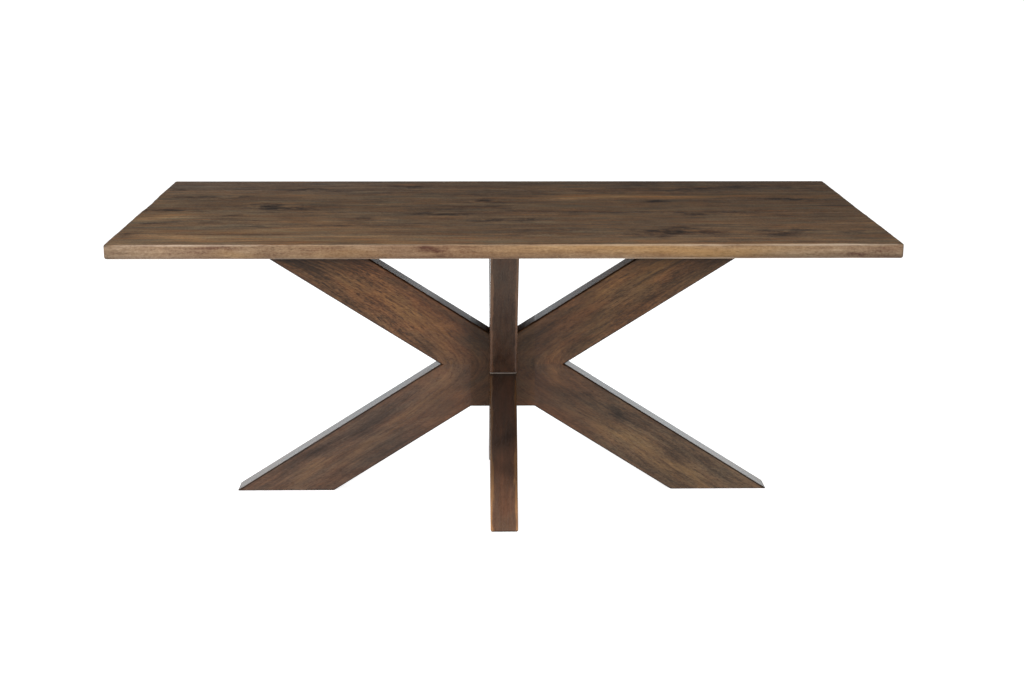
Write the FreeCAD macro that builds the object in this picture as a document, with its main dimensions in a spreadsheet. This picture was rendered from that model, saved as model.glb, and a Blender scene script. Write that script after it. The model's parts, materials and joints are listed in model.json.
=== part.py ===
import FreeCAD, Part
import os
from types import SimpleNamespace

import Sketcher

# Driving sizes: lengths in millimetres, slopes in degrees.
# The table stands on Z = 0 with its middle on the Z axis, its length along X and its front towards -Y.
SIZES = {
    # Table top: length, overall height, thickness, and its six boards from front to rear
    "length": 1870,
    "height": 762,
    "top_thickness": 35,
    "board_1_width": 118,
    "board_2_width": 138,
    "board_3_width": 174,
    "board_4_width": 192,
    "board_5_width": 150,
    "board_6_width": 163,
    "corner_round": 9,
    "edge_round": 5,
    # Loose tongues in the seams of the top
    "spline_thickness": 6,
    "spline_depth": 10,
    "spline_inset": 90,
    "spline_rise": 21,
    # Both X frames: stock thickness, height of the mitres, rounding of the long edges
    "arm_thickness": 70,
    "mid_height": 353,
    "arm_round": 5,
    "crease_ease": 1.5,
    "foot_ease": 3,
    # Long X frame, in the length of the table
    "long_arm_width": 141,
    "long_notch": 164,
    "long_slope_angle": 32.6,
    "hub_width": 170,
    # Short X frame, across the table
    "short_arm_width": 118,
    "short_notch": 118,
    "short_slope_angle": 57,
    # Loose tenons in the mitres and dowels at the hub
    "tenon_width": 46,
    "tenon_thickness": 14,
    "tenon_length": 72,
    "dowel_diameter": 12,
    "dowel_embed": 30,
    "dowel_spread": 32,
    "dowel_ease": 1.2,
    # Steel plates let into the upper ends of the arms
    "plate_length": 118,
    "plate_width": 136,
    "plate_thickness": 5,
    "plate_corner_round": 10,
    # Countersunk wood screws from the plates down into the arms
    "screw_diameter": 5,
    "screw_head_diameter": 10,
    "screw_tip": 6,
    "screw_length": 38,
    "screw_spread_along": 70,
    "screw_spread_across": 30,
    # Socket bolts and washers from the plates up into threaded inserts in the top
    "bolt_diameter": 8,
    "bolt_length": 16,
    "bolt_head_diameter": 14,
    "bolt_head_height": 5,
    "bolt_socket": 5,
    "bolt_socket_depth": 3,
    "bolt_spread_along": 80,
    "bolt_spread_across": 108,
    "bolt_play": 1,
    "washer_diameter": 18,
    "washer_thickness": 1.6,
    "insert_diameter": 12,
    "insert_length": 12,
    # Room for glue round hidden wood, for threads and for round parts in their holes
    "glue_gap": 0.2,
    # How far every cut runs past the face it starts from
    "overrun": 2,
}
BOARD_COUNT = 6
HEX_CORNERS = 6
# Heights of a pair of hub dowels, as shares of the height of the arm's end face
DOWEL_HEIGHT_SHARES = (0.25, 0.65)
BOTH_SIDES = (-1, 1)
# Ways from a mitre: down along the leg and up along the arm
DOWNWARD, UPWARD = BOTH_SIDES
# Cosine and sine of the quarter turns that set the four half frames round the hub
QUARTER_TURNS = {0: (1, 0), 90: (0, 1), 180: (-1, 0), 270: (0, -1)}
# Closeness at which two coordinates count as the same
SAME = 1e-6

# Ends of a sketch line, the middle of a circle, and the sketch's own origin and axes
LINE_START, LINE_END, CIRCLE_MIDDLE = range(1, 4)
ACROSS_AXIS, UP_AXIS = range(-1, -3, -1)
ORIGIN = (ACROSS_AXIS, LINE_START)

UP = FreeCAD.Vector(0, 0, 1)
LENGTHWISE_TURN = FreeCAD.Rotation(FreeCAD.Vector(0, 1, 0), 90)

doc = FreeCAD.newDocument("SawbuckTable")
sheet = doc.addObject("Spreadsheet::Sheet", "Sizes")
for row, (alias, number) in enumerate(SIZES.items(), start=1):
    sheet.set(f"A{row}", str(number))
    sheet.setAlias(f"A{row}", alias)
doc.recompute()
size = SimpleNamespace(**{alias: f"Sizes.{alias}" for alias in SIZES})

UNDERSIDE = f"({size.height} - {size.top_thickness})"
PLATE_SEAT = f"({UNDERSIDE} - {size.plate_thickness})"
# The screws have heads of 90 degrees, so they are as high as they are wider than the shank
SCREW_HEAD_HEIGHT = f"(({size.screw_head_diameter} - {size.screw_diameter}) / 2)"
BOARD_WIDTHS = [f"Sizes.board_{number}_width" for number in range(1, BOARD_COUNT + 1)]
TOP_WIDTH = "(" + " + ".join(BOARD_WIDTHS) + ")"
MIDDLE = "0"


def value(expression):
    """The present number of an expression in the driving sizes."""
    return float(sheet.evalExpression(expression))


def same(first, second):
    return abs(first - second) < SAME


def new_body(label):
    body = doc.addObject("PartDesign::Body", label)
    body.Label = label
    return body


def new_sketch(body, name, plane, lift):
    """A sketch on one of the body's own planes, lifted off it by an expression."""
    sketch = body.newObject("Sketcher::SketchObject", name)
    support = next(feature for feature in body.Origin.OriginFeatures if feature.Role == plane)
    sketch.AttachmentSupport = (support, [""])
    sketch.MapMode = "FlatFace"
    sketch.setExpression("AttachmentOffset.Base.z", lift)
    return sketch


def pin(sketch, geometry, point, across, up):
    """Ties one point of a sketch to a pair of expressions."""
    for kind, axis, expression in (("DistanceX", UP_AXIS, across), ("DistanceY", ACROSS_AXIS, up)):
        if expression == MIDDLE:
            sketch.addConstraint(Sketcher.Constraint("PointOnObject", geometry, point, axis))
            continue
        number = sketch.addConstraint(
            Sketcher.Constraint(kind, *ORIGIN, geometry, point, value(expression)))
        sketch.setExpression(f"Constraints[{number}]", expression)


def outline(body, name, plane, points, lift=MIDDLE):
    """A closed straight-sided sketch through points that are pairs of expressions."""
    sketch = new_sketch(body, name, plane, lift)
    corners = [FreeCAD.Vector(value(across), value(up), 0) for across, up in points]
    for start, end in zip(corners, corners[1:] + corners[:1]):
        sketch.addGeometry(Part.LineSegment(start, end), False)
    for number in range(len(points)):
        following = (number + 1) % len(points)
        sketch.addConstraint(Sketcher.Constraint("Coincident", number, LINE_END, following, LINE_START))
    for number, (across, up) in enumerate(points):
        pin(sketch, number, LINE_START, across, up)
    return sketch


def circles(body, name, plane, centres, radius, lift=MIDDLE):
    """A sketch of equal circles at centres that are pairs of expressions."""
    sketch = new_sketch(body, name, plane, lift)
    for across, up in centres:
        middle = FreeCAD.Vector(value(across), value(up), 0)
        geometry = sketch.addGeometry(Part.Circle(middle, UP, value(radius)), False)
        pin(sketch, geometry, CIRCLE_MIDDLE, across, up)
        number = sketch.addConstraint(Sketcher.Constraint("Radius", geometry, value(radius)))
        sketch.setExpression(f"Constraints[{number}]", radius)
    return sketch


def rectangle_points(across, up, width, depth):
    """Corners of a rectangle about a middle, all as expressions."""
    left, right = f"{across} - ({width}) / 2", f"{across} + ({width}) / 2"
    low, high = f"{up} - ({depth}) / 2", f"{up} + ({depth}) / 2"
    return [(left, low), (right, low), (right, high), (left, high)]


def grid(across_spread, up_spread, across=MIDDLE, up=MIDDLE):
    """The four places of a two by two pattern about a middle, as pairs of expressions."""
    return [(f"{across} + {i} * {across_spread} / 2", f"{up} + {j} * {up_spread} / 2")
            for i in BOTH_SIDES for j in BOTH_SIDES]


def pad(body, sketch, length, symmetric=False):
    feature = body.newObject("PartDesign::Pad", f"{sketch.Name}_pad")
    feature.Profile = sketch
    feature.setExpression("Length", length)
    feature.SideType = "Symmetric" if symmetric else "One side"
    doc.recompute()
    return feature


def pocket(body, sketch, depth, along_normal=False, symmetric=False):
    """Cuts a sketch into the body, against the sketch's normal unless told otherwise."""
    before = body.Shape.Volume
    feature = body.newObject("PartDesign::Pocket", f"{sketch.Name}_pocket")
    feature.Profile = sketch
    feature.setExpression("Length", depth)
    feature.Reversed = along_normal
    feature.SideType = "Symmetric" if symmetric else "One side"
    doc.recompute()
    if not body.Shape.Volume < before:
        raise ValueError(f"{feature.Name} cuts nothing")
    return feature


def revolve(body, sketch):
    """Turns a half profile about the upright axis of its sketch."""
    feature = body.newObject("PartDesign::Revolution", f"{sketch.Name}_turned")
    feature.Profile = sketch
    feature.ReferenceAxis = (sketch, ["V_Axis"])
    doc.recompute()
    return feature


def ease(body, kind, sized_property, wanted, amount):
    """Rounds or chamfers the edges of the body that a test picks out."""
    edges = [f"Edge{number}" for number, edge in enumerate(body.Shape.Edges, start=1) if wanted(edge)]
    base = body.Tip
    feature = body.newObject(f"PartDesign::{kind}", f"{body.Name}_{kind.lower()}")
    feature.Base = (base, edges)
    feature.setExpression(sized_property, amount)
    doc.recompute()
    return feature


def rounded(body, wanted, radius):
    return ease(body, "Fillet", "Radius", wanted, radius)


def chamfered(body, wanted, amount):
    return ease(body, "Chamfer", "Size", wanted, amount)


def place(thing, x, y, z):
    for axis, expression in zip("xyz", (x, y, z)):
        thing.setExpression(f"Placement.Base.{axis}", expression)


def group(label, pieces):
    """Several separate solids under one name."""
    compound = doc.addObject("Part::Compound", label)
    compound.Label = label
    compound.Links = pieces
    return compound


def copies(label, master, spots):
    """One solid repeated at spots, each three expressions and a rotation, under one name."""
    links = []
    for number, (x, y, z, rotation) in enumerate(spots, start=1):
        link = doc.addObject("App::Link", f"{label}_{number}")
        link.LinkedObject = master
        link.Placement = FreeCAD.Placement(FreeCAD.Vector(), rotation)
        place(link, x, y, z)
        links.append(link)
    return group(label, links)


def is_level(edge):
    return same(edge.BoundBox.ZMin, edge.BoundBox.ZMax)


def is_upright(edge):
    return same(edge.BoundBox.XMin, edge.BoundBox.XMax) and same(edge.BoundBox.YMin, edge.BoundBox.YMax)


class HalfFrame:
    """One < shaped half of an X frame, drawn in X and Z and then turned about the Z axis.

    Its upper arm and lower leg meet in a level mitre at mid height, and both end on an upright
    face of the hub at the distance inner from the middle of the table.
    """

    def __init__(self, side, kind, turn, inner):
        self.side = side
        self.turn = turn
        self.inner = inner
        self.notch = f"Sizes.{kind}_notch"
        self.slope = f"Sizes.{kind}_slope_angle"
        arm_width = f"Sizes.{kind}_arm_width"
        self.edge_rise = f"({arm_width} / cos({self.slope}))"
        self.end_height = f"({self.edge_rise} - ({self.notch} - {inner}) * tan({self.slope}))"
        self.top_outer = f"({self.notch} + ({UNDERSIDE} - {size.mid_height}) / tan({self.slope}))"
        self.top_inner = f"({self.top_outer} - {arm_width} / sin({self.slope}))"
        self.foot_outer = f"({self.notch} + {size.mid_height} / tan({self.slope}))"
        self.foot_inner = f"({self.foot_outer} - {arm_width} / sin({self.slope}))"
        self.plate_middle = f"(({self.top_outer} + {self.top_inner}) / 2)"
        self.mitre_middle = f"(({self.notch} + {inner}) / 2)"

    def crease(self, way):
        """The eased outer edge of the mitre, upward or downward from it, as two points."""
        ease_amount = size.crease_ease
        on_mitre = (f"{self.notch} - {ease_amount}", size.mid_height)
        on_face = (f"{self.notch} + {ease_amount} * cos({self.slope})",
                   f"{size.mid_height} + {way} * {ease_amount} * sin({self.slope})")
        return on_mitre, on_face

    def spot(self, along, across):
        """A place beside this half frame as X and Y expressions of the whole table."""
        cosine, sine = QUARTER_TURNS[self.turn]
        return (f"{cosine} * ({along}) - {sine} * ({across})",
                f"{sine} * ({along}) + {cosine} * ({across})")

    def rotation(self):
        return FreeCAD.Rotation(UP, self.turn)

    def dowel_heights(self, way):
        return [f"{size.mid_height} + {way * share} * {self.end_height}" for share in DOWEL_HEIGHT_SHARES]

    def dowel_places(self, way):
        """Across and up places of the dowels in the end face of the arm or the leg."""
        return [(f"{i} * {size.dowel_spread} / 2", height)
                for height in self.dowel_heights(way) for i in BOTH_SIDES]

    def bolt_places(self):
        return [self.spot(along, across) for along, across in
                grid(size.bolt_spread_along, size.bolt_spread_across, across=self.plate_middle)]

    def screw_places(self):
        return [self.spot(along, across) for along, across in
                grid(size.screw_spread_along, size.screw_spread_across, across=self.plate_middle)]


HUB_SIDE = f"({size.hub_width} / 2)"
HUB_FACE = f"({size.arm_thickness} / 2)"
RIGHT = HalfFrame("right", "long", 0, HUB_SIDE)
REAR = HalfFrame("rear", "short", 90, HUB_FACE)
LEFT = HalfFrame("left", "long", 180, HUB_SIDE)
FRONT = HalfFrame("front", "short", 270, HUB_FACE)
HALVES = (LEFT, RIGHT, FRONT, REAR)
LOOSE_DOWEL_RADIUS = f"{size.dowel_diameter} / 2 + {size.glue_gap}"


def is_long_slant(edge):
    """True on the long slanting edges of an arm, and not on the short ones of its crease."""
    box = edge.BoundBox
    slants = box.XLength > SAME and box.ZLength > SAME
    return slants and same(box.YLength, 0) and edge.Length > value(size.arm_thickness)


def arm_blank(label, points):
    """Stock of the frame's thickness cut to an outline."""
    body = new_body(label)
    pad(body, outline(body, f"{label}_outline", "XZ_Plane", points), size.arm_thickness, symmetric=True)
    return body


def joint_sockets(half, body, way):
    """Mortise in the mitre and dowel holes in the hub end of an arm or a leg."""
    mortise = rectangle_points(half.mitre_middle, MIDDLE, f"{size.tenon_width} + 2 * {size.glue_gap}",
                               f"{size.tenon_thickness} + 2 * {size.glue_gap}")
    mortise_sketch = outline(body, f"{body.Name}_mortise", "XY_Plane", mortise, lift=size.mid_height)
    pocket(body, mortise_sketch, f"{size.tenon_length} / 2 + {size.glue_gap}", along_normal=way > 0)
    dowel_sketch = circles(body, f"{body.Name}_dowel_holes", "YZ_Plane", half.dowel_places(way),
                           LOOSE_DOWEL_RADIUS, lift=half.inner)
    pocket(body, dowel_sketch, f"{size.dowel_embed} + {size.glue_gap}", along_normal=True)


def upper_arm(half):
    """Slants up and out to the underside of the top, with a housing for the steel plate in its end."""
    mid = size.mid_height
    on_mitre, on_face = half.crease(UPWARD)
    points = [
        (half.inner, mid), on_mitre, on_face, (half.top_outer, UNDERSIDE), (half.top_inner, UNDERSIDE),
        (half.inner, f"{mid} + {half.end_height}"),
    ]
    body = arm_blank(f"{half.side}_upper_arm", points)
    rounded(body, is_long_slant, size.arm_round)
    housing = rectangle_points(half.plate_middle, MIDDLE, f"{size.plate_length} + 2 * {size.glue_gap}",
                               f"{size.arm_thickness} + 2 * {size.overrun}")
    housing_sketch = outline(body, f"{body.Name}_housing", "XY_Plane", housing, lift=UNDERSIDE)
    pocket(body, housing_sketch, size.plate_thickness)
    joint_sockets(half, body, UPWARD)
    pilots = grid(size.screw_spread_along, size.screw_spread_across, across=half.plate_middle)
    pilot_sketch = circles(body, f"{body.Name}_pilots", "XY_Plane", pilots,
                           f"{size.screw_diameter} / 2 + {size.glue_gap}", lift=PLATE_SEAT)
    pocket(body, pilot_sketch, f"{size.screw_length} - {size.plate_thickness} + {size.glue_gap}")
    body.Placement = FreeCAD.Placement(FreeCAD.Vector(), half.rotation())
    return body


def lower_leg(half):
    """Slants down and out to a flat foot with eased edges."""
    mid = size.mid_height
    on_mitre, on_face = half.crease(DOWNWARD)
    points = [
        (half.inner, mid), (half.inner, f"{mid} - {half.end_height}"), (half.foot_inner, MIDDLE),
        (half.foot_outer, MIDDLE), on_face, on_mitre,
    ]
    body = arm_blank(f"{half.side}_lower_leg", points)
    chamfered(body, lambda edge: is_level(edge) and same(edge.BoundBox.ZMin, 0), size.foot_ease)
    rounded(body, is_long_slant, size.arm_round)
    joint_sockets(half, body, DOWNWARD)
    body.Placement = FreeCAD.Placement(FreeCAD.Vector(), half.rotation())
    return body


def hub_block():
    """Upright block in the middle: flat below, and above cut to a V in line with the long arms."""
    body = new_body("hub_block")
    low = f"{size.mid_height} - {LEFT.end_height}"
    high = f"{size.mid_height} + {LEFT.end_height}"
    valley = f"{size.mid_height} + {LEFT.edge_rise} - {LEFT.notch} * tan({LEFT.slope})"
    points = [(f"-{HUB_SIDE}", low), (HUB_SIDE, low), (HUB_SIDE, high), (MIDDLE, valley),
              (f"-{HUB_SIDE}", high)]
    pad(body, outline(body, "hub_outline", "XZ_Plane", points), size.arm_thickness, symmetric=True)
    rounded(body, lambda edge: edge.BoundBox.XLength > SAME, size.arm_round)
    dowel_places = LEFT.dowel_places(UPWARD) + LEFT.dowel_places(DOWNWARD)
    for way, name in zip(BOTH_SIDES, ("left", "right")):
        sketch = circles(body, f"hub_{name}_dowel_holes", "YZ_Plane", dowel_places, LOOSE_DOWEL_RADIUS,
                         lift=f"{way} * {HUB_SIDE}")
        pocket(body, sketch, f"{size.dowel_embed} + {size.glue_gap}", along_normal=way < 0)
    through_places = FRONT.dowel_places(UPWARD) + FRONT.dowel_places(DOWNWARD)
    through = circles(body, "hub_through_holes", "XZ_Plane", through_places, LOOSE_DOWEL_RADIUS)
    pocket(body, through, f"{size.arm_thickness} + {size.overrun}", symmetric=True)
    return body


def dowel(label, length):
    """A round dowel along Z about its middle, with eased ends."""
    body = new_body(label)
    sketch = circles(body, f"{label}_section", "XY_Plane", [(MIDDLE, MIDDLE)], f"{size.dowel_diameter} / 2")
    pad(body, sketch, length, symmetric=True)
    chamfered(body, is_level, size.dowel_ease)
    return body


def hub_dowels():
    """Four dowels in the hub end of each long arm and leg."""
    master = dowel("hub_dowel", f"2 * {size.dowel_embed}")
    spots = []
    for half in (LEFT, RIGHT):
        for across, up in half.dowel_places(UPWARD) + half.dowel_places(DOWNWARD):
            x, y = half.spot(half.inner, across)
            spots.append((x, y, up, LENGTHWISE_TURN))
    return copies("hub_dowels", master, spots)


def through_dowels():
    """Long dowels from the front half frame through the hub into the rear one."""
    master = dowel("through_dowel", f"{size.arm_thickness} + 2 * {size.dowel_embed}")
    turn = FRONT.rotation().multiply(LENGTHWISE_TURN)
    places = FRONT.dowel_places(UPWARD) + FRONT.dowel_places(DOWNWARD)
    spots = [(across, MIDDLE, up, turn) for across, up in places]
    return copies("through_dowels", master, spots)


def mitre_tenons():
    """A loose tenon across each of the four mitres."""
    master = new_body("mitre_tenon")
    section = rectangle_points(MIDDLE, MIDDLE, size.tenon_width, size.tenon_thickness)
    pad(master, outline(master, "tenon_section", "XY_Plane", section), size.tenon_length, symmetric=True)
    spots = [(*half.spot(half.mitre_middle, MIDDLE), size.mid_height, half.rotation()) for half in HALVES]
    return copies("mitre_tenons", master, spots)


def seam(number):
    """Y of the seam behind the first boards, or of the front edge for none."""
    return " + ".join([f"-{TOP_WIDTH} / 2"] + BOARD_WIDTHS[:number])


def groove(body, number, seam_y):
    """Stopped groove for a loose tongue along one seam of a board."""
    points = rectangle_points(MIDDLE, seam_y, f"{size.length} - 2 * {size.spline_inset}",
                              f"2 * ({size.spline_depth} + {size.glue_gap})")
    lift = f"{UNDERSIDE} + {size.spline_rise} + {size.spline_thickness} / 2 + {size.glue_gap}"
    sketch = outline(body, f"{body.Name}_groove_{number}", "XY_Plane", points, lift=lift)
    pocket(body, sketch, f"{size.spline_thickness} + 2 * {size.glue_gap}")


def top_board(number, insert_holes):
    """One board of the top, grooved along its seams and rounded on the edges that stay open."""
    front, rear = seam(number - 1), seam(number)
    body = new_body(f"board_{number}_blank")
    half_length = f"{size.length} / 2"
    points = [(f"-{half_length}", front), (half_length, front),
              (half_length, rear), (f"-{half_length}", rear)]
    sketch = outline(body, f"board_{number}_outline", "XY_Plane", points, lift=UNDERSIDE)
    pad(body, sketch, size.top_thickness)
    open_sides = {1: value(front), BOARD_COUNT: value(rear)}
    if number in open_sides:
        rounded(body, lambda edge: is_upright(edge) and same(edge.BoundBox.YMin, open_sides[number]),
                size.corner_round)
    seams = [y for y in (value(front), value(rear)) if y != open_sides.get(number)]

    def is_open_edge(edge):
        box = edge.BoundBox
        along_seam = any(same(box.YMin, y) and same(box.YMax, y) for y in seams)
        return is_level(edge) and not along_seam

    rounded(body, is_open_edge, size.edge_round)
    if number > 1:
        groove(body, number - 1, front)
    if number < BOARD_COUNT:
        groove(body, number, rear)
    board = doc.addObject("Part::Cut", f"top_board_{number}")
    board.Label = f"top_board_{number}"
    board.Base = body
    board.Tool = insert_holes
    doc.recompute()
    return board


def top_splines():
    """Loose tongues in the seams, stopped short of the ends of the top."""
    strips = []
    for number in range(1, BOARD_COUNT):
        strip = doc.addObject("Part::Box", f"spline_{number}")
        strip.setExpression("Length", f"{size.length} - 2 * {size.spline_inset} - 2 * {size.glue_gap}")
        strip.setExpression("Width", f"2 * {size.spline_depth}")
        strip.setExpression("Height", size.spline_thickness)
        place(strip, f"-{size.length} / 2 + {size.spline_inset} + {size.glue_gap}",
              f"{seam(number)} - {size.spline_depth}",
              f"{UNDERSIDE} + {size.spline_rise} - {size.spline_thickness} / 2")
        strips.append(strip)
    return group("top_splines", strips)


def insert_holes():
    """Blind holes in the underside of the top for all the threaded inserts."""
    holes = []
    for half in HALVES:
        for number, (x, y) in enumerate(half.bolt_places(), start=1):
            hole = doc.addObject("Part::Cylinder", f"{half.side}_insert_hole_{number}")
            hole.setExpression("Radius", f"{size.insert_diameter} / 2 + {size.glue_gap}")
            hole.setExpression("Height", f"{size.insert_length} + {size.glue_gap} + {size.overrun}")
            place(hole, x, y, f"{UNDERSIDE} - {size.overrun}")
            holes.append(hole)
    return group("insert_holes", holes)


def mounting_plate(half):
    """Steel plate in the end of an arm: countersunk screw holes, and bolt holes in its two ears."""
    label = f"{half.side}_plate"
    body = new_body(label)
    section = rectangle_points(MIDDLE, MIDDLE, size.plate_length, size.plate_width)
    pad(body, outline(body, f"{label}_outline", "XY_Plane", section), size.plate_thickness)
    rounded(body, is_upright, size.plate_corner_round)
    screw_hole_radius = f"{size.screw_diameter} / 2 + {size.glue_gap}"
    screw_sketch = circles(body, f"{label}_screw_holes", "XY_Plane",
                           grid(size.screw_spread_along, size.screw_spread_across), screw_hole_radius,
                           lift=size.plate_thickness)
    pocket(body, screw_sketch, f"{size.plate_thickness} + {size.overrun}")
    screw_rim = value(screw_hole_radius)
    chamfered(body, lambda edge: is_level(edge) and same(edge.BoundBox.ZMin, value(size.plate_thickness))
              and same(edge.BoundBox.XLength, 2 * screw_rim), SCREW_HEAD_HEIGHT)
    bolt_sketch = circles(body, f"{label}_bolt_holes", "XY_Plane",
                          grid(size.bolt_spread_along, size.bolt_spread_across),
                          f"{size.bolt_diameter} / 2 + {size.bolt_play}", lift=size.plate_thickness)
    pocket(body, bolt_sketch, f"{size.plate_thickness} + {size.overrun}")
    body.Placement = FreeCAD.Placement(FreeCAD.Vector(), half.rotation())
    place(body, *half.spot(half.plate_middle, MIDDLE), PLATE_SEAT)
    return body


def wood_screw():
    """Countersunk screw, its head flush with Z = 0 and its point below."""
    body = new_body("wood_screw")
    head, shank = f"{size.screw_head_diameter} / 2", f"{size.screw_diameter} / 2"
    profile = [(MIDDLE, MIDDLE), (head, MIDDLE), (shank, f"-{SCREW_HEAD_HEIGHT}"),
               (shank, f"{size.screw_tip} - {size.screw_length}"), (MIDDLE, f"-{size.screw_length}")]
    revolve(body, outline(body, "wood_screw_profile", "XZ_Plane", profile))
    return body


def socket_bolt():
    """Round-headed bolt with a hexagon socket, its head below Z = 0 and its shank above."""
    body = new_body("socket_bolt")
    shank, head = f"{size.bolt_diameter} / 2", f"{size.bolt_head_diameter} / 2"
    profile = [(MIDDLE, f"-{size.bolt_head_height}"), (head, f"-{size.bolt_head_height}"), (head, MIDDLE),
               (shank, MIDDLE), (shank, size.bolt_length), (MIDDLE, size.bolt_length)]
    revolve(body, outline(body, "socket_bolt_profile", "XZ_Plane", profile))
    corner = f"{size.bolt_socket} / (2 * cos(180 / {HEX_CORNERS}))"
    turns = [f"{number} * 360 / {HEX_CORNERS}" for number in range(HEX_CORNERS)]
    hexagon = [(f"{corner} * cos({turn})", f"{corner} * sin({turn})") for turn in turns]
    sketch = outline(body, "socket_bolt_hexagon", "XY_Plane", hexagon, lift=f"-{size.bolt_head_height}")
    pocket(body, sketch, size.bolt_socket_depth, along_normal=True)
    return body


def ring(label, outer, bore, height):
    """Round piece with a plain bore, standing on Z = 0."""
    body = new_body(label)
    pad(body, circles(body, f"{label}_outside", "XY_Plane", [(MIDDLE, MIDDLE)], outer), height)
    bore_sketch = circles(body, f"{label}_bore", "XY_Plane", [(MIDDLE, MIDDLE)], bore, lift=height)
    pocket(body, bore_sketch, f"{height} + {size.overrun}")
    return body


def bolted_spots(height):
    return [(x, y, height, half.rotation()) for half in HALVES for x, y in half.bolt_places()]


def fasteners():
    """Screws, bolts, washers and inserts of all four plates, each kind under one name."""
    loose_bolt = f"{size.bolt_diameter} / 2 + {size.glue_gap}"
    screw_spots = [(x, y, UNDERSIDE, half.rotation()) for half in HALVES for x, y in half.screw_places()]
    washer = ring("washer", f"{size.washer_diameter} / 2", loose_bolt, size.washer_thickness)
    insert = ring("threaded_insert", f"{size.insert_diameter} / 2", loose_bolt, size.insert_length)
    washer_seat = f"{PLATE_SEAT} - {size.washer_thickness}"
    return [
        copies("plate_screws", wood_screw(), screw_spots),
        copies("top_bolts", socket_bolt(), bolted_spots(washer_seat)),
        copies("bolt_washers", washer, bolted_spots(washer_seat)),
        copies("threaded_inserts", insert, bolted_spots(UNDERSIDE)),
    ]


def build():
    holes = insert_holes()
    doc.recompute()
    pieces = [top_board(number, holes) for number in range(1, BOARD_COUNT + 1)]
    pieces.append(top_splines())
    pieces.append(hub_block())
    pieces += [upper_arm(half) for half in HALVES]
    pieces += [lower_leg(half) for half in HALVES]
    pieces += [mitre_tenons(), hub_dowels(), through_dowels()]
    pieces += [mounting_plate(half) for half in HALVES]
    pieces += fasteners()
    doc.recompute()
    return pieces


def check(pieces):
    for thing in doc.Objects:
        if "Invalid" in thing.State or "Error" in thing.State:
            raise ValueError(f"{thing.Label} failed: {thing.State}")
    for piece in pieces:
        if piece.Shape.isNull() or not piece.Shape.isValid():
            raise ValueError(f"{piece.Label} has no valid shape")


def export(pieces):
    os.makedirs("parts", exist_ok=True)
    for piece in pieces:
        piece.Shape.exportStep(f"parts/{piece.Label}.step")
        print(piece.Label, len(piece.Shape.Solids), round(piece.Shape.Volume), piece.Shape.BoundBox)


table_pieces = build()
check(table_pieces)
export(table_pieces)
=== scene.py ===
"""Looks of the sawbuck table: a planked top on crossed X frames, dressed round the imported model.

All lengths are in metres. Colours are sRGB in 0 to 255, unless a comment says otherwise.
"""
import json
import math

import bmesh
import bpy
import numpy as np
from mathutils import Matrix, Vector


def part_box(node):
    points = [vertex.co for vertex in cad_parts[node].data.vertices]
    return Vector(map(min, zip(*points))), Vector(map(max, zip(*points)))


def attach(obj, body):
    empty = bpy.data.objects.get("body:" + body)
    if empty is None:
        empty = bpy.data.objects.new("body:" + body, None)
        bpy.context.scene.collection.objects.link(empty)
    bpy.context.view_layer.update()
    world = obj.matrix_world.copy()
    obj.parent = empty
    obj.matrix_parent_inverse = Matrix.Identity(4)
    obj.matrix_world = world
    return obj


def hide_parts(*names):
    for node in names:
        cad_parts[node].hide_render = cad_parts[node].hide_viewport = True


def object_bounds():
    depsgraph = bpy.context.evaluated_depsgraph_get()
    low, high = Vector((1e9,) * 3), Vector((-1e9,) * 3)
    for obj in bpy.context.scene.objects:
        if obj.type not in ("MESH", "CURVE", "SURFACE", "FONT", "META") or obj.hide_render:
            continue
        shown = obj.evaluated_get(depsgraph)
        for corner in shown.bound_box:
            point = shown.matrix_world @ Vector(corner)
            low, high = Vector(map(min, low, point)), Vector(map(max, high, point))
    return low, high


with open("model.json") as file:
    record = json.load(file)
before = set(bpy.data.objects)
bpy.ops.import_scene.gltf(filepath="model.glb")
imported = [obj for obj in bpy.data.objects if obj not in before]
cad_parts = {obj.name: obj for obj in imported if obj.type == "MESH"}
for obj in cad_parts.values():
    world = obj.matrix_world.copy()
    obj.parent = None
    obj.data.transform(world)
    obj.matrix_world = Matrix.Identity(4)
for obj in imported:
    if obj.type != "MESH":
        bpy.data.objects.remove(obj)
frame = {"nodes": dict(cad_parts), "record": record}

CAD_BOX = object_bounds()
NODES = frame["nodes"]
BODY = "root"
LOW, HIGH = (np.array(corner) for corner in CAD_BOX)
HALF_LENGTH, HALF_WIDTH, TOP_LEVEL = HIGH
UNDER_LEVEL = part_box("top_board_1")[0].z
MID_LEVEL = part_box("left_upper_arm")[0].z
ARM_THICKNESS = 2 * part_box("left_upper_arm")[1].y
X_AXIS, Y_AXIS, Z_AXIS = Vector((1, 0, 0)), Vector((0, 1, 0)), Vector((0, 0, 1))

# Forms taken over from the solids: roundings, and slope, width and notch of the long and the short frames
TOP_ROUND, ARM_ROUND = 0.005, 0.005
LONG_FRAME = (math.radians(32.6), 0.141, 0.164)
SHORT_FRAME = (math.radians(57), 0.118, 0.118)
BOARD_COUNT = 6
# Level of the pale line at the mitres, and of the painted shade below it
CREASE_LEVEL = MID_LEVEL - 0.001
CREASE_SHADE_LEVEL = CREASE_LEVEL - 0.004
# Turn of each half frame about the table's middle in degrees, which of them are long, and which limb goes up
TURNS = {"right": 0, "left": 180, "front": 270, "rear": 90}
LONG_SIDES = ("right", "left")
WAYS = {"upper_arm": 1, "lower_leg": -1}

# Fineness of the dressed meshes, and when two points or two faces count as one
TOP_STEP, ARM_STEP = 0.009, 0.01
WELD = 1e-5
FLAT_ANGLE = math.radians(0.8)
SHARP_ANGLE = math.radians(32)

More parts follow.
